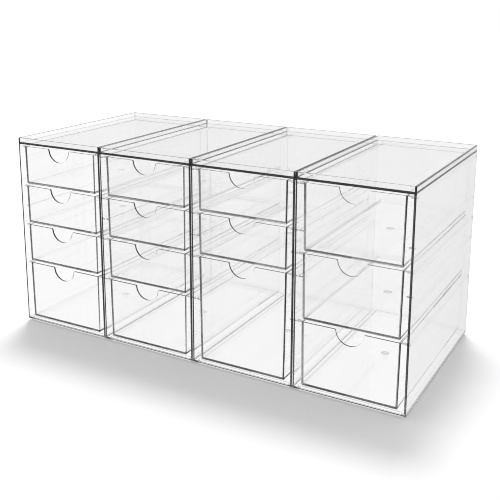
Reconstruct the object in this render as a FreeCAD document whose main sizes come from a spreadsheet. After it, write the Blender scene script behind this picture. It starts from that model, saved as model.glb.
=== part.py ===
import FreeCAD, Part
import math
import os
import Sketcher

# Clear moulded drawer towers for craft stamps: four equal open-fronted cases stand side by side,
# and each takes a column of hanging drawers in one of three heights.
# Frame: millimetres, +X along the row, -Y is the drawer fronts, +Z up.
# The origin is on the ground under the middle of the row.

# The drawers of each tower from the top down, by their height in ninths of the column.
SMALL_NINTHS = 2
MEDIUM_NINTHS = 3
LARGE_NINTHS = 5
TOWERS = [
    [SMALL_NINTHS, SMALL_NINTHS, SMALL_NINTHS, MEDIUM_NINTHS],
    [SMALL_NINTHS, SMALL_NINTHS, SMALL_NINTHS, MEDIUM_NINTHS],
    [SMALL_NINTHS, SMALL_NINTHS, LARGE_NINTHS],
    [MEDIUM_NINTHS, MEDIUM_NINTHS, MEDIUM_NINTHS],
]
COLUMN_NINTHS = 9

# Every case has ledges where a drawer of any of these columns can start, counted in ninths
# from the top, so one mould serves all four towers.
LEDGE_NINTHS = [0, 2, 3, 4, 6]

SIZES = [
    # The case: outside, walls and the raised rim round its recessed top.
    ("tower_width", 119.9),
    ("tower_depth", 225),
    ("shell_height", 226),
    ("tower_gap", 0.5),
    ("side_wall", 2),
    ("back_wall", 2.4),
    ("top_panel", 2.2),
    ("base_panel", 2.2),
    ("rim_height", 5.2),
    ("rim_wall", 2),
    ("back_corner_radius", 3),
    ("edge_radius", 0.8),
    # The ring under the base, which drops inside the rim of a tower below.
    ("plinth_height", 3),
    ("plinth_wall", 2.2),
    ("stacking_clearance", 2),
    # The ledges that carry the drawers.
    ("ledge_thickness", 1.6),
    ("ledge_setback", 7),
    ("ledge_tub_clearance", 1.5),
    # The space round the drawers.
    ("drawer_headroom", 2.4),
    ("drawer_spacing", 2.6),
    ("drawer_ground_clearance", 2),
    ("front_recess", 1),
    ("drawer_rear_clearance", 1.8),
    ("slide_clearance", 0.2),
    # The drawer: a drafted tub with a hanging flange along each side.
    ("tub_side_gap", 6.35),
    ("flange_tip_clearance", 0.8),
    ("flange_thickness", 1.6),
    ("flange_setback", 3),
    ("tub_wall", 2),
    ("tub_front_wall", 2.2),
    ("tub_floor", 2),
    ("draft_slope", 0.0122),
    ("tub_back_radius", 4),
    ("tub_front_radius", 1.2),
    ("tub_bottom_radius", 1.8),
    ("tub_floor_radius", 1.2),
    # The finger notch and the round gate mark under the floor.
    ("notch_radius", 14.7),
    ("notch_corner_radius", 1.5),
    ("notch_edge_radius", 0.5),
    ("gate_mark_radius", 4.8),
    ("gate_mark_depth", 0.4),
]

# Sizes that follow from the ones above.
DERIVED_SIZES = [
    ("tower_pitch", "tower_width + tower_gap"),
    ("case_top", "plinth_height + shell_height"),
    ("panel_underside", "case_top - rim_height - top_panel"),
    ("base_top", "plinth_height + base_panel"),
    ("bore_half_width", "tower_width / 2 - side_wall"),
    ("ledge_width", "tub_side_gap - ledge_tub_clearance"),
    ("plinth_inset", "rim_wall + stacking_clearance"),
    ("drawer_top", "panel_underside - drawer_headroom"),
    ("column_height", "drawer_top - base_top - drawer_ground_clearance + drawer_spacing"),
    ("ninth", "column_height / %d" % COLUMN_NINTHS),
    ("tub_half_width", "bore_half_width - tub_side_gap"),
    ("flange_half_width", "bore_half_width - flange_tip_clearance"),
    ("drawer_length", "tower_depth - back_wall - front_recess - drawer_rear_clearance"),
]


def make_sheet(doc):
    """Puts the driving dimensions and what follows from them in a sheet, each under its name."""
    sheet = doc.addObject("Spreadsheet::Sheet", "sizes")
    rows = [(name, str(number)) for name, number in SIZES]
    rows += [(name, "=" + formula) for name, formula in DERIVED_SIZES]
    for row, (name, content) in enumerate(rows, start=1):
        sheet.set("A%d" % row, name)
        sheet.set("B%d" % row, content)
        sheet.setAlias("B%d" % row, name)
    doc.recompute()
    return sheet


def bind(item, path, formula):
    """Ties one property to a formula in the sheet's names, written with a leading dot."""
    item.setExpression(path, formula.replace(".", "sizes."))


def make_body(doc, name):
    body = doc.addObject("PartDesign::Body", name)
    body.Label = name
    return body


def make_sketch(body, name, role, offset):
    """Makes a sketch on one of the body's own origin planes, shifted along the plane's normal."""
    sketch = body.newObject("Sketcher::SketchObject", name)
    plane = [item for item in body.Origin.OriginFeatures if item.Role == role][0]
    sketch.AttachmentSupport = [(plane, "")]
    sketch.MapMode = "FlatFace"
    bind(sketch, "AttachmentOffset.Base.z", offset)
    return sketch


def hold_point(sketch, geometry, end, across, up):
    """Holds a point of the geometry at given distances from the sketch's origin."""
    for kind, formula in (("DistanceX", across), ("DistanceY", up)):
        index = sketch.addConstraint(Sketcher.Constraint(kind, -1, 1, geometry, end, 1.0))
        bind(sketch, "Constraints[%d]" % index, formula)


def add_outline(sketch, corners):
    """Adds a closed straight-sided outline through corners that are given as formulas."""
    count = len(corners)
    first = sketch.GeometryCount
    turn = 2 * math.pi / count
    spots = [FreeCAD.Vector(math.cos(turn * n), math.sin(turn * n), 0) for n in range(count)]
    for number in range(count):
        side = Part.LineSegment(spots[number], spots[(number + 1) % count])
        sketch.addGeometry(side)
    for number, (across, up) in enumerate(corners):
        following = first + (number + 1) % count
        sketch.addConstraint(Sketcher.Constraint("Coincident", first + number, 2, following, 1))
        hold_point(sketch, first + number, 1, across, up)


def add_rectangle(sketch, left, right, low, high):
    add_outline(sketch, [(left, low), (right, low), (right, high), (left, high)])


def add_circle(sketch, across, up, radius):
    axis = FreeCAD.Vector(0, 0, 1)
    circle = sketch.addGeometry(Part.Circle(FreeCAD.Vector(1, 1, 0), axis, 1))
    hold_point(sketch, circle, 3, across, up)
    index = sketch.addConstraint(Sketcher.Constraint("Radius", circle, 1.0))
    bind(sketch, "Constraints[%d]" % index, radius)


def make_feature(body, kind, name, sketch, length, backwards=False):
    """Pads or pockets a sketch and checks that the body's volume really changed."""
    before = body.Shape.Volume if body.Tip else 0
    feature = body.newObject("PartDesign::" + kind, name)
    feature.Profile = sketch
    feature.Reversed = backwards
    bind(feature, "Length", length)
    body.Document.recompute()
    if abs(body.Shape.Volume - before) < 0.1:
        raise RuntimeError("%s changed nothing in %s" % (name, body.Label))
    return feature


def round_edges(body, name, radius, chosen):
    """Fillets the edges of the body so far that the test picks out."""
    base = body.Tip
    names = []
    for number, edge in enumerate(base.Shape.Edges, start=1):
        if chosen(edge):
            names.append("Edge%d" % number)
    if not names:
        raise RuntimeError("%s finds no edge in %s" % (name, body.Label))
    fillet = body.newObject("PartDesign::Fillet", name)
    fillet.Base = (base, names)
    bind(fillet, "Radius", radius)
    body.Document.recompute()
    return fillet


def ends(edge):
    return [vertex.Point for vertex in edge.Vertexes]


def lies_at(edge, level):
    return all(abs(point.z - level) < 0.01 for point in ends(edge))


def runs_up(edge):
    """True for an upright edge, or one that leans only by the draft."""
    low, high = sorted((edge.Vertexes[0].Point, edge.Vertexes[-1].Point), key=lambda spot: spot.z)
    rise = high.z - low.z
    return rise > 1 and (high - low).Length < rise * 1.01


def make_case(doc, number, sizes):
    """Makes one open-fronted case, moulded in one piece with its rim, plinth ring and ledges."""
    body = make_body(doc, "tower_%d_case" % number)

    outline = make_sketch(body, "outline", "XY_Plane", ".plinth_height")
    add_rectangle(outline, "-.tower_width / 2", ".tower_width / 2",
                  "-.tower_depth / 2", ".tower_depth / 2")
    make_feature(body, "Pad", "block", outline, ".shell_height")
    back = sizes.tower_depth / 2
    round_edges(body, "back_corners", ".back_corner_radius",
                lambda edge: runs_up(edge) and ends(edge)[0].y > back - 0.01)
    round_edges(body, "outer_edges", ".edge_radius",
                lambda edge: lies_at(edge, sizes.plinth_height) or lies_at(edge, sizes.case_top)
                or (runs_up(edge) and ends(edge)[0].y < 0.01 - back))

    bore = make_sketch(body, "bore_outline", "XZ_Plane", ".tower_depth / 2")
    add_rectangle(bore, "-.bore_half_width", ".bore_half_width", ".base_top", ".panel_underside")
    make_feature(body, "Pocket", "bore", bore, ".tower_depth - .back_wall")

    recess = make_sketch(body, "recess_outline", "XY_Plane", ".case_top")
    add_rectangle(recess, ".rim_wall - .tower_width / 2", ".tower_width / 2 - .rim_wall",
                  ".rim_wall - .tower_depth / 2", ".tower_depth / 2 - .rim_wall")
    make_feature(body, "Pocket", "recessed_top", recess, ".rim_height")

    ring = make_sketch(body, "ring_outline", "XY_Plane", "0")
    add_rectangle(ring, ".plinth_inset - .tower_width / 2", ".tower_width / 2 - .plinth_inset",
                  ".plinth_inset - .tower_depth / 2", ".tower_depth / 2 - .plinth_inset")
    inner = "(.plinth_inset + .plinth_wall)"
    add_rectangle(ring, inner + " - .tower_width / 2", ".tower_width / 2 - " + inner,
                  inner + " - .tower_depth / 2", ".tower_depth / 2 - " + inner)
    make_feature(body, "Pad", "plinth_ring", ring, ".plinth_height")

    # Each ledge starts inside the wall that carries it and runs into the back wall.
    ledges = make_sketch(body, "ledge_ends", "XZ_Plane", ".tower_depth / 2 - .ledge_setback")
    for ninths in LEDGE_NINTHS:
        high = ".drawer_top - %d * .ninth - .flange_thickness - .slide_clearance" % ninths
        low = high + " - .ledge_thickness"
        tip = "(.bore_half_width - .ledge_width)"
        root = "(.bore_half_width + .side_wall / 2)"
        add_rectangle(ledges, "-" + root, "-" + tip, low, high)
        add_rectangle(ledges, tip, root, low, high)
    make_feature(body, "Pad", "ledges", ledges,
                 ".tower_depth - .ledge_setback - .back_wall / 2", backwards=True)
    return body


def make_drawer(doc, name, ninths, sizes):
    """Makes one hanging drawer. Its own origin is the middle of the front's top edge."""
    body = make_body(doc, name)
    height = "(%d * .ninth - .drawer_spacing)" % ninths
    middle = sizes.drawer_length / 2
    lowest = sizes.drawer_spacing - ninths * sizes.ninth

    # The tub narrows downwards by the draft that lets it leave its mould.
    front = make_sketch(body, "front_outline", "XZ_Plane", "0")
    foot = "(.tub_half_width - %s * .draft_slope)" % height
    add_outline(front, [("-.tub_half_width", "0"), ("-" + foot, "-" + height),
                        (foot, "-" + height), (".tub_half_width", "0")])
    make_feature(body, "Pad", "tub", front, ".drawer_length", backwards=True)
    round_edges(body, "back_corners", ".tub_back_radius",
                lambda edge: runs_up(edge) and ends(edge)[0].y > middle)
    round_edges(body, "front_corners", ".tub_front_radius",
                lambda edge: runs_up(edge) and ends(edge)[0].y < middle / 2)
    round_edges(body, "bottom_edges", ".tub_bottom_radius",
                lambda edge: max(point.z for point in ends(edge)) < lowest + 0.01)

    # The cavity keeps the walls and the floor even.
    cavity = make_sketch(body, "cavity_outline", "XZ_Plane", "-.tub_front_wall")
    inner_mouth = "(.tub_half_width - .tub_wall)"
    inner_foot = "(%s - .tub_wall + .tub_floor * .draft_slope)" % foot
    inner_depth = "(%s - .tub_floor)" % height
    add_outline(cavity, [("-" + inner_mouth, "0"), ("-" + inner_foot, "-" + inner_depth),
                         (inner_foot, "-" + inner_depth), (inner_mouth, "0")])
    make_feature(body, "Pocket", "cavity", cavity,
                 ".drawer_length - .tub_front_wall - .tub_wall")
    inner_back = sizes.drawer_length - sizes.tub_wall
    inner_floor = lowest + sizes.tub_floor
    round_edges(body, "cavity_back_corners", ".tub_back_radius - .tub_wall",
                lambda edge: runs_up(edge) and abs(ends(edge)[0].y - inner_back) < 0.01)
    round_edges(body, "cavity_floor_edges", ".tub_floor_radius",
                lambda edge: lies_at(edge, inner_floor))

    # The flanges start inside the side walls, so that each becomes one piece with its wall.
    flanges = make_sketch(body, "flange_outline", "XY_Plane", "0")
    root = "(.tub_half_width - .tub_wall / 2)"
    end = ".drawer_length - .tub_back_radius"
    add_rectangle(flanges, "-.flange_half_width", "-" + root, ".flange_setback", end)
    add_rectangle(flanges, root, ".flange_half_width", ".flange_setback", end)
    make_feature(body, "Pad", "flanges", flanges, ".flange_thickness", backwards=True)

    notch = make_sketch(body, "notch_outline", "XZ_Plane", "0")
    add_circle(notch, "0", "0", ".notch_radius")
    make_feature(body, "Pocket", "finger_notch", notch, "2 * .tub_front_wall")
    round_edges(body, "notch_corners", ".notch_corner_radius",
                lambda edge: lies_at(edge, 0) and edge.Length < 2 * sizes.tub_front_wall
                and abs(abs(ends(edge)[0].x) - sizes.notch_radius) < 0.01)
    round_edges(body, "notch_edges", ".notch_edge_radius",
                lambda edge: edge.BoundBox.ZMin < 0.01 - sizes.notch_radius
                and edge.BoundBox.ZMax > -sizes.notch_radius and edge.BoundBox.YLength < 0.01
                and edge.BoundBox.XLength < 2 * sizes.notch_radius)

    gate = make_sketch(body, "gate_outline", "XY_Plane", "-" + height)
    add_circle(gate, "0", ".drawer_length / 2", ".gate_mark_radius")
    make_feature(body, "Pocket", "gate_mark", gate, ".gate_mark_depth", backwards=True)
    return body


def check(doc, bodies):
    """Stops before anything is written if a feature failed or a piece isn't one sound solid."""
    for item in doc.Objects:
        if "Invalid" in item.State or "Error" in item.State:
            raise RuntimeError("%s failed: %s" % (item.Label, item.State))
    for body in bodies:
        shape = body.Shape
        if shape.isNull() or not shape.isValid() or len(shape.Solids) != 1:
            raise RuntimeError("%s isn't one sound solid" % body.Label)


def main():
    doc = FreeCAD.newDocument("stamp_drawers")
    sizes = make_sheet(doc)
    bodies = []
    for place, column in enumerate(TOWERS):
        tower = place + 1
        across = "(%d - %d / 2) * .tower_pitch" % (place, len(TOWERS) - 1)
        case = make_case(doc, tower, sizes)
        bind(case, "Placement.Base.x", across)
        bodies.append(case)

        ninths_above = 0
        for number, ninths in enumerate(column, start=1):
            drawer = make_drawer(doc, "tower_%d_drawer_%d" % (tower, number), ninths, sizes)
            bind(drawer, "Placement.Base.x", across)
            bind(drawer, "Placement.Base.y", ".front_recess - .tower_depth / 2")
            bind(drawer, "Placement.Base.z", ".drawer_top - %d * .ninth" % ninths_above)
            ninths_above += ninths
            bodies.append(drawer)

    doc.recompute()
    check(doc, bodies)
    os.makedirs("parts", exist_ok=True)
    for body in bodies:
        body.Shape.exportStep("parts/%s.step" % body.Label)


main()
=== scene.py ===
import math
import bpy
from mathutils import Euler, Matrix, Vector

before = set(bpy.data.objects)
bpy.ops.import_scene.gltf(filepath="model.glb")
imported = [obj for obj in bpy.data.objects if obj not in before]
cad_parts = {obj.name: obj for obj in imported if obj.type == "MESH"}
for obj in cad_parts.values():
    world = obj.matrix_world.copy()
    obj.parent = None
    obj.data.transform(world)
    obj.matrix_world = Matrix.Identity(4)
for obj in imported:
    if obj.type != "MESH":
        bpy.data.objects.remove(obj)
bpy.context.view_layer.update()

scene = bpy.context.scene
scene.view_settings.view_transform = "Standard"

# ------------------------------------------------------------------ the four cases
# Each case is one injection moulding in crystal polystyrene: shell, raised rim, foot ring and
# drawer ledges together. It stands loose on its foot ring, half a millimetre from the next one.
# What is seen of it is mostly its edges, where light that is caught in the walls comes out.

# The cases repeat along the row, so their places are read across one tower.
ROW_PITCH = 0.1204
# The walls' inner faces are 57.95 mm from the tower's middle; what is nearer is a ledge.
LEDGE_REACH = 0.0577
# The ledges start 105.5 mm in front of the middle, and 0.2 mm more takes in their end faces.
LEDGE_FRONT = -0.1053
# The ledges lie between the base, 5.2 mm up, and the top panel, whose underside is at 221.6 mm.
# Each limit is a millimetre inside that, clear of the two panels.
BASE_TOP = 0.0062
TOP_UNDERSIDE = 0.2205
# The back wall is the last 2.4 mm of the case, and 0.2 mm more takes in its inner face.
BACK_WALL = 0.1099
# The case's sides are 59.95 mm and its front and back 112.5 mm from the middle. The 1.6 mm
# inside each corner are the rounded edge and as much flat again, as on the lowest edge, which
# starts 3 mm up, above the foot ring. Such tight edges bend light away and show dark, and painted
# shade darkens them.
CORNER_ACROSS = 0.0583
CORNER_ALONG = 0.1109
LOW_EDGE = 0.0046
# Painted shade darkens the walls' edges most in the first few centimetres behind the front.
CASE_FRONT = -0.1125
DEEP_INSIDE = -0.075

PLAIN_WHITE = "ffffff"
# Painted shade on the edges, as what light keeps when a wall throws it back inside: near the
# front, deeper in, where it is only partly thrown back, and in the ledges. The less it keeps,
# the darker the edges come out.
CASE_FRONT_BOUNCE_SHADE = "e6e6e6"
CASE_DEEP_BOUNCE_SHADE = "f4f4f4"
CASE_SKIN_BOUNCE_SHADE = "f4f4f4"
LEDGE_BOUNCE_SHADE = "fefefe"
# Painted shade on what passes through the back wall, the corners of the rim and the lowest edges.
BACK_WALL_PAINTED_SHADE = "fbfbfb"
RIM_CORNER_PAINTED_SHADE = "383838"
LOW_EDGE_PAINTED_SHADE = "b8b8b8"

POLYSTYRENE_IOR = 1.59
# Above this share, all light is thrown back into the wall.
ALL_THROWN_BACK = 0.99
# The small end faces of ledges and flanges are mostly matt, with some clear left in them.
MATT_SHARE = 0.8
MATT_ROUGHNESS = 0.5
# Waves about 22 mm long and 4 thousandths of a millimetre high, longer along the flow.
WAVES_PER_METRE = 45
WAVE_STRETCH = (1, 0.35, 1)
WAVE_HEIGHT = 0.000004
WAVE_DETAIL = 2
WAVE_TROUGH = 0.35
WAVE_CREST = 0.65
# A polished skin is almost smooth, and a little hazier on the crests of the waves.
SMOOTHEST_SKIN = 0.014
HAZIEST_SKIN = 0.028
# The plastic itself takes a little of every colour alike.
LOST_INSIDE = "000000"
CASE_GREY_PER_METRE = 1.0


def linear(hex_colour):
    """Turns an sRGB hex value into the linear colour that a shader wants."""
    parts = [int(hex_colour[n:n + 2], 16) / 255 for n in (0, 2, 4)]
    return tuple(c / 12.92 if c <= 0.04045 else ((c + 0.055) / 1.055) ** 2.4 for c in parts) + (1,)


def add_node(tree, kind, inputs=None, **settings):
    """Adds a node; an input is given a value, or a socket to link to."""
    node = tree.nodes.new("ShaderNode" + kind)
    for name, value in settings.items():
        setattr(node, name, value)
    for name, value in (inputs or {}).items():
        if isinstance(value, bpy.types.NodeSocket):
            tree.links.new(value, node.inputs[name])
        else:
            node.inputs[name].default_value = value
    return node


def start_material(name):
    """Makes an empty material and gives its node tree with it."""
    material = bpy.data.materials.new(name)
    material.use_nodes = True
    material.node_tree.nodes.clear()
    return material, material.node_tree


def across_its_tower(tree, axes):
    """How far a point lies from the middle plane of its own tower."""
    shifted = add_node(tree, "Math", {0: axes.outputs["X"], 1: ROW_PITCH / 2},
                       operation="SUBTRACT")
    wrapped = add_node(tree, "Math", {0: shifted.outputs[0], 1: ROW_PITCH / 2, 2: -ROW_PITCH / 2},
                       operation="WRAP")
    return add_node(tree, "Math", {0: wrapped.outputs[0]}, operation="ABSOLUTE")


def finish_clear_plastic(tree, place, tint_and_painted_shade, edge_bounce_shade, skin_bounce_shade, matt_end, grey):
    """Builds clear moulded plastic: tint and losses carrying painted shade, and a share of matt
    end.
    """
    # The faint ripples and haze that the flowing melt leaves in a large flat wall.
    flow = add_node(tree, "Mapping", {"Vector": place.outputs["Object"], "Scale": WAVE_STRETCH})
    waves = add_node(tree, "TexNoise", {"Vector": flow.outputs[0], "Scale": WAVES_PER_METRE,
                                        "Detail": WAVE_DETAIL})
    skin = add_node(tree, "Bump", {"Height": waves.outputs["Fac"], "Distance": WAVE_HEIGHT})
    haze = add_node(tree, "MapRange", {"Value": waves.outputs["Fac"], "From Min": WAVE_TROUGH,
                                       "From Max": WAVE_CREST, "To Min": SMOOTHEST_SKIN,
                                       "To Max": HAZIEST_SKIN})
    # Painted shade: light caught inside a wall loses some of itself at each bounce,
    # which draws the edges dark.
    thrown_back = add_node(tree, "Fresnel", {"IOR": POLYSTYRENE_IOR, "Normal": skin.outputs[0]})
    caught = add_node(tree, "Math", {0: thrown_back.outputs[0], 1: ALL_THROWN_BACK},
                      operation="GREATER_THAN")
    bounce = add_node(tree, "Mix", {"Factor": caught.outputs[0], 6: linear(skin_bounce_shade),
                                    7: edge_bounce_shade}, data_type="RGBA")
    side = add_node(tree, "NewGeometry")
    bounce = add_node(tree, "Mix", {"Factor": side.outputs["Backfacing"],
                                    6: linear(PLAIN_WHITE), 7: bounce.outputs[2]},
                      data_type="RGBA")
    through = add_node(tree, "BsdfRefraction", {"Color": tint_and_painted_shade, "Roughness": haze.outputs[0],
                                                "IOR": POLYSTYRENE_IOR,
                                                "Normal": skin.outputs[0]})
    mirror = add_node(tree, "BsdfGlossy", {"Color": bounce.outputs[2],
                                           "Roughness": haze.outputs[0],
                                           "Normal": skin.outputs[0]})
    clear = add_node(tree, "MixShader", {0: thrown_back.outputs[0], 1: through.outputs[0],
                                         2: mirror.outputs[0]})
    # The small end faces of ledges and flanges come matt from the mould and catch the light.
    matt = add_node(tree, "BsdfDiffuse", {"Color": linear(PLAIN_WHITE),
                                          "Roughness": MATT_ROUGHNESS})
    face = add_node(tree, "MixShader", {0: matt_end, 1: clear.outputs[0], 2: matt.outputs[0]})
    inside = add_node(tree, "VolumeAbsorption", {"Color": linear(LOST_INSIDE), "Density": grey})
    add_node(tree, "OutputMaterial", {"Surface": face.outputs[0], "Volume": inside.outputs[0]})


def dress(ending, material):
    """Gives every CAD node whose name holds this ending the material."""
    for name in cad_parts:
        if ending in name:
            for slot in bpy.data.objects[name].material_slots:
                slot.material = material


# Crystal polystyrene from a polished mould: water clear, with painted shade drawing dark lines
# along its edges, faint ripples in the large walls, light grey ends on the ledges, and a back
# wall dimmed a little by painted shade.
case_polystyrene, tree = start_material("crystal_polystyrene_case_polished_mould")
place = add_node(tree, "TexCoord")
axes = add_node(tree, "SeparateXYZ", {0: place.outputs["Object"]})
across = across_its_tower(tree, axes)
inward = add_node(tree, "Math", {0: across.outputs[0], 1: LEDGE_REACH}, operation="LESS_THAN")
above = add_node(tree, "Math", {0: axes.outputs["Z"], 1: BASE_TOP}, operation="GREATER_THAN")
below = add_node(tree, "Math", {0: axes.outputs["Z"], 1: TOP_UNDERSIDE}, operation="LESS_THAN")
ledge = add_node(tree, "Math", {0: inward.outputs[0], 1: above.outputs[0]}, operation="MULTIPLY")
ledge = add_node(tree, "Math", {0: ledge.outputs[0], 1: below.outputs[0]}, operation="MULTIPLY")
front = add_node(tree, "Math", {0: axes.outputs["Y"], 1: LEDGE_FRONT}, operation="LESS_THAN")
ledge_end = add_node(tree, "Math", {0: ledge.outputs[0], 1: front.outputs[0]},
                     operation="MULTIPLY")
ledge_end = add_node(tree, "Math", {0: ledge_end.outputs[0], 1: MATT_SHARE},
                     operation="MULTIPLY")
# Painted shade: the walls' edges lose more light near the front than deeper in.
deep = add_node(tree, "MapRange", {"Value": axes.outputs["Y"], "From Min": CASE_FRONT,
                                   "From Max": DEEP_INSIDE}, interpolation_type="SMOOTHSTEP")
deep = add_node(tree, "Math", {0: deep.outputs[0], 1: below.outputs[0]}, operation="MULTIPLY")
wall_bounce_shade = add_node(tree, "Mix", {"Factor": deep.outputs[0], 6: linear(CASE_FRONT_BOUNCE_SHADE),
                                     7: linear(CASE_DEEP_BOUNCE_SHADE)}, data_type="RGBA")
edge_bounce_shade = add_node(tree, "Mix", {"Factor": ledge.outputs[0], 6: wall_bounce_shade.outputs[2],
                                     7: linear(LEDGE_BOUNCE_SHADE)}, data_type="RGBA")
# Painted shade: the back wall lets a little less light through.
back_wall_shade = add_node(tree, "Math", {0: axes.outputs["Y"], 1: BACK_WALL}, operation="GREATER_THAN")
tint_and_painted_shade = add_node(tree, "Mix", {"Factor": back_wall_shade.outputs[0], 6: linear(PLAIN_WHITE),
                              7: linear(BACK_WALL_PAINTED_SHADE)}, data_type="RGBA")
# Painted shade: dark lines on the upright corners of the rim and along the lowest edges.
outward = add_node(tree, "Math", {0: across.outputs[0], 1: CORNER_ACROSS},
                   operation="GREATER_THAN")
along = add_node(tree, "Math", {0: axes.outputs["Y"]}, operation="ABSOLUTE")
at_end = add_node(tree, "Math", {0: along.outputs[0], 1: CORNER_ALONG},
                  operation="GREATER_THAN")
rim = add_node(tree, "Math", {0: axes.outputs["Z"], 1: TOP_UNDERSIDE},
               operation="GREATER_THAN")
rim_corner_shade = add_node(tree, "Math", {0: outward.outputs[0], 1: at_end.outputs[0]},
                      operation="MULTIPLY")
rim_corner_shade = add_node(tree, "Math", {0: rim_corner_shade.outputs[0], 1: rim.outputs[0]},
                      operation="MULTIPLY")
tint_and_painted_shade = add_node(tree, "Mix", {"Factor": rim_corner_shade.outputs[0], 6: tint_and_painted_shade.outputs[2],
                              7: linear(RIM_CORNER_PAINTED_SHADE)}, data_type="RGBA")
# Painted shade along the lowest edges, where the case stands on the floor.
low = add_node(tree, "Math", {0: axes.outputs["Z"], 1: LOW_EDGE}, operation="LESS_THAN")
low_edge_shade = add_node(tree, "Math", {0: outward.outputs[0], 1: at_end.outputs[0]},
                    operation="MAXIMUM")
low_edge_shade = add_node(tree, "Math", {0: low_edge_shade.outputs[0], 1: low.outputs[0]},
                    operation="MULTIPLY")
tint_and_painted_shade = add_node(tree, "Mix", {"Factor": low_edge_shade.outputs[0], 6: tint_and_painted_shade.outputs[2],
                              7: linear(LOW_EDGE_PAINTED_SHADE)}, data_type="RGBA")
finish_clear_plastic(tree, place, tint_and_painted_shade.outputs[2], edge_bounce_shade.outputs[2], CASE_SKIN_BOUNCE_SHADE,
                     ledge_end.outputs[0], CASE_GREY_PER_METRE)
dress("_case", case_polystyrene)

# ------------------------------------------------------------------ the drawers
# Each drawer is one injection moulding in the same clear polystyrene: a drafted tub with a
# finger notch in its front and a flange along each side. It hangs by the flanges on the
# case's ledges, so it has no runners, and lifts out past the end of its travel.

# The tub's sides are 51.6 mm from the tower's middle; what is further out is a flange.
FLANGE_START = 0.05165
# The flanges start 108.5 mm in front of the middle, and 0.2 mm more takes in their end faces.
FLANGE_FRONT = -0.1083
# The drawers' fronts lie 1 mm behind the fronts of the cases.
DRAWER_FRONT = -0.1115
# The front panel's upright corners are rounded over the last 1.2 mm of the tub.
CORNER_START = 0.0504
CORNER_DEPTH = -0.1103
# Over the last 3 mm towards each side, the panel's edges get lighter painted shade than its
# middle.
SIDE_START = 0.0485
# Painted shade on the drawer's edges: what light keeps when it is thrown back inside the front
# panel and inside its sides, and what passes through its upright corners.
PANEL_FRONT_BOUNCE_SHADE = "b0b0b0"
PANEL_SIDE_BOUNCE_SHADE = "d8d8d8"
PANEL_CORNER_PAINTED_SHADE = "787878"
# The plastic enters the mould under the middle of the floor and leaves a round mark there,
# 9.6 mm across, which lies 1.6 mm in front of the tower's middle.
GATE_MARK_MIDDLE = (0, -0.0016, 0)
GATE_MARK_RADIUS = 0.0048
GATE_MARK_TINT = "ececec"
# The tub behind the front panel gets almost no painted shade.
TUB_BOUNCE_SHADE = "fefefe"
DRAWER_GREY_PER_METRE = 0.5

# The same plastic in a deeper mould: the thick front panel has the darkest painted shade on its
# edges, the tub behind it is nearly without it, and the flanges end in small light grey faces.
drawer_polystyrene, tree = start_material("crystal_polystyrene_drawer_polished_mould")
place = add_node(tree, "TexCoord")
axes = add_node(tree, "SeparateXYZ", {0: place.outputs["Object"]})
across = across_its_tower(tree, axes)
flange = add_node(tree, "Math", {0: across.outputs[0], 1: FLANGE_START},
                  operation="GREATER_THAN")
front = add_node(tree, "Math", {0: axes.outputs["Y"], 1: FLANGE_FRONT}, operation="LESS_THAN")
flange_end = add_node(tree, "Math", {0: flange.outputs[0], 1: front.outputs[0]},
                      operation="MULTIPLY")
flange_end = add_node(tree, "Math", {0: flange_end.outputs[0], 1: MATT_SHARE},
                      operation="MULTIPLY")
# Painted shade on the drawer's edges: most in the front panel, less at its sides, little in the
# tub.
deep = add_node(tree, "MapRange", {"Value": axes.outputs["Y"], "From Min": DRAWER_FRONT,
                                   "From Max": DEEP_INSIDE}, interpolation_type="SMOOTHSTEP")
deep = add_node(tree, "Math", {0: deep.outputs[0], 1: flange.outputs[0]}, operation="MAXIMUM")
at_side = add_node(tree, "Math", {0: across.outputs[0], 1: SIDE_START},
                   operation="GREATER_THAN")
panel_bounce_shade = add_node(tree, "Mix", {"Factor": at_side.outputs[0],
                                      6: linear(PANEL_FRONT_BOUNCE_SHADE),
                                      7: linear(PANEL_SIDE_BOUNCE_SHADE)}, data_type="RGBA")
edge_bounce_shade = add_node(tree, "Mix", {"Factor": deep.outputs[0], 6: panel_bounce_shade.outputs[2],
                                     7: linear(TUB_BOUNCE_SHADE)}, data_type="RGBA")
# Painted shade: the front panel's upright corners are darkened.
panel_corner_shade = add_node(tree, "Math", {0: across.outputs[0], 1: CORNER_START},
                  operation="GREATER_THAN")
panel_corner_shade = add_node(tree, "Math", {0: panel_corner_shade.outputs[0], 1: flange.outputs[0]},
                  operation="SUBTRACT")
shallow = add_node(tree, "Math", {0: axes.outputs["Y"], 1: CORNER_DEPTH}, operation="LESS_THAN")
panel_corner_shade = add_node(tree, "Math", {0: panel_corner_shade.outputs[0], 1: shallow.outputs[0]},
                  operation="MULTIPLY")
tint_and_painted_shade = add_node(tree, "Mix", {"Factor": panel_corner_shade.outputs[0], 6: linear(PLAIN_WHITE),
                              7: linear(PANEL_CORNER_PAINTED_SHADE)}, data_type="RGBA")
place_in_plan = add_node(tree, "CombineXYZ", {"X": across.outputs[0], "Y": axes.outputs["Y"]})
from_gate = add_node(tree, "VectorMath", {0: place_in_plan.outputs[0], 1: GATE_MARK_MIDDLE},
                     operation="DISTANCE")
gate_mark = add_node(tree, "Math", {0: from_gate.outputs["Value"], 1: GATE_MARK_RADIUS},
                     operation="LESS_THAN")
tint_and_painted_shade = add_node(tree, "Mix", {"Factor": gate_mark.outputs[0], 6: tint_and_painted_shade.outputs[2],
                              7: linear(GATE_MARK_TINT)}, data_type="RGBA")
finish_clear_plastic(tree, place, tint_and_painted_shade.outputs[2], edge_bounce_shade.outputs[2], PLAIN_WHITE,
                     flange_end.outputs[0], DRAWER_GREY_PER_METRE)
dress("_drawer_", drawer_polystyrene)

# ------------------------------------------------------------------ the studio
# A sheet of white paper under and behind the object, a white room, and one large soft box
# high behind it on the left, which throws the soft grey shadow forward.
PAPER_SIZE = 12
PAPER_WHITE = "e7e7e7"
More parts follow.
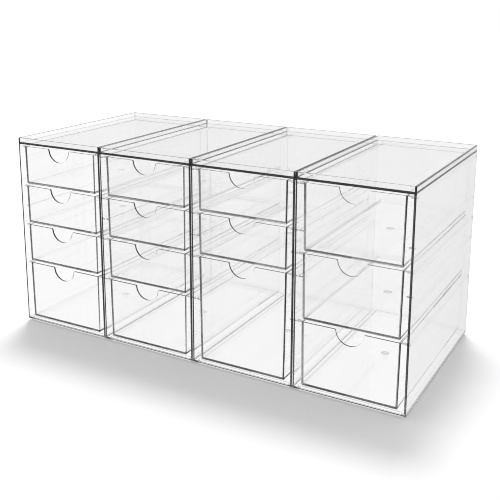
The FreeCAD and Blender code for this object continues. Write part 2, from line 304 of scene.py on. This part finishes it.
# The paper glows a little by itself, which keeps the shadow pale, and the room gives the rest.
PAPER_LIFT = 0.27
ROOM_FILL = 0.53
# What the outer faces mirror is a little darker than what shows through them.
SHOWN_WHITE = 1.0
MIRRORED_ROOM = 0.84
MIRRORED_FLOOR = 0.68
# A ray with less than half a matt bounce has had none.
HALF_A_BOUNCE = 0.5

bpy.ops.object.select_all(action="DESELECT")
bpy.ops.mesh.primitive_plane_add(size=PAPER_SIZE)
floor = bpy.context.object
floor.name = "studio_floor"


def light_paths(tree, mirrored_white):
    """Where the white shows through plastic or in a mirror, and how bright it is there."""
    path = add_node(tree, "LightPath")
    straight = add_node(tree, "Math", {0: path.outputs["Diffuse Depth"], 1: HALF_A_BOUNCE},
                        operation="LESS_THAN")
    mirrored = add_node(tree, "Math", {0: path.outputs["Is Glossy Ray"],
                                       1: path.outputs["Is Transmission Ray"]},
                        operation="GREATER_THAN")
    white = add_node(tree, "MapRange", {"Value": mirrored.outputs[0], "To Min": SHOWN_WHITE,
                                        "To Max": mirrored_white})
    through = add_node(tree, "Math", {0: path.outputs["Is Glossy Ray"],
                                      1: path.outputs["Is Transmission Ray"]},
                       operation="MAXIMUM")
    return straight, through, white


# Matt white paper: it keeps the object's shadow, and shows plain white through the plastic.
paper, tree = start_material("matt_white_paper")
floor.data.materials.append(paper)
straight, through, white = light_paths(tree, MIRRORED_FLOOR)
seen = add_node(tree, "Math", {0: through.outputs[0], 1: straight.outputs[0]},
                operation="MULTIPLY")
matt = add_node(tree, "BsdfDiffuse", {"Color": linear(PAPER_WHITE)})
lift = add_node(tree, "Emission", {"Strength": PAPER_LIFT})
matt = add_node(tree, "AddShader", {0: matt.outputs[0], 1: lift.outputs[0]})
glow = add_node(tree, "Emission", {"Strength": white.outputs[0]})
both = add_node(tree, "MixShader", {0: seen.outputs[0], 1: matt.outputs[0], 2: glow.outputs[0]})
add_node(tree, "OutputMaterial", {"Surface": both.outputs[0]})

world = bpy.data.worlds.new("white_room")
scene.world = world
world.use_nodes = True
tree = world.node_tree
tree.nodes.clear()
straight, through, white = light_paths(tree, MIRRORED_ROOM)
path = add_node(tree, "LightPath")
seen = add_node(tree, "Math", {0: through.outputs[0], 1: path.outputs["Is Camera Ray"]},
                operation="MAXIMUM")
seen = add_node(tree, "Math", {0: seen.outputs[0], 1: straight.outputs[0]},
                operation="MULTIPLY")
fill = add_node(tree, "Background", {"Color": linear(PLAIN_WHITE), "Strength": ROOM_FILL})
wall = add_node(tree, "Background", {"Color": linear(PLAIN_WHITE), "Strength": white.outputs[0]})
both = add_node(tree, "MixShader", {0: seen.outputs[0], 1: fill.outputs[0], 2: wall.outputs[0]})
add_node(tree, "OutputWorld", {"Surface": both.outputs[0]})

# The soft box stands 69 degrees up, looks 15 degrees wide and gives half of the paper's light.
SOFT_BOX_DIRECTION = Vector((-37, 80, 229)).normalized()
SOFT_BOX_WIDTH = math.radians(15)
SOFT_BOX_SHARE = 0.5
box_data = bpy.data.lights.new("soft_box_above_and_behind", "SUN")
box_data.energy = SOFT_BOX_SHARE * math.pi / SOFT_BOX_DIRECTION.z
box_data.angle = SOFT_BOX_WIDTH
soft_box = bpy.data.objects.new("soft_box_above_and_behind", box_data)
scene.collection.objects.link(soft_box)
soft_box.rotation_euler = SOFT_BOX_DIRECTION.to_track_quat("Z", "Y").to_euler()

# Light is thrown back and forth dozens of times inside the thin walls before it comes out.
BOUNCES = 96
# A narrow pixel filter keeps the fine edge lines crisp.
PIXEL_FILTER = 1.0
scene.cycles.max_bounces = BOUNCES
scene.cycles.transmission_bounces = BOUNCES
scene.cycles.glossy_bounces = BOUNCES
scene.cycles.filter_width = PIXEL_FILTER

# ------------------------------------------------------------------ the camera
# It stands in front of the right half of the row, above its top, and looks down 12 degrees.
# Its frame is shifted down to the row, which keeps the upright edges nearly upright.
CAMERA_PLACE = (0.4469, -0.7932, 0.4024)
CAMERA_AZIMUTH = 28.94
CAMERA_ELEVATION = 12.27
CAMERA_ROLL = 0.195
# The sensor and the lens are in millimetres, and the shift is a share of the frame.
SENSOR_WIDTH = 36
LENS_LENGTH = 57.9
FRAME_SHIFT = -0.176
NEAREST_SEEN = 0.01
camera_data = bpy.data.cameras.new("camera")
camera = bpy.data.objects.new("camera", camera_data)
scene.collection.objects.link(camera)
camera_data.sensor_width = SENSOR_WIDTH
camera_data.lens = LENS_LENGTH
camera_data.shift_y = FRAME_SHIFT
camera_data.clip_start = NEAREST_SEEN
camera.location = CAMERA_PLACE
camera.rotation_euler = Euler((math.radians(90 - CAMERA_ELEVATION), 0,
                               math.radians(CAMERA_AZIMUTH)))
camera.rotation_euler.rotate_axis("Z", math.radians(CAMERA_ROLL))
scene.camera = camera
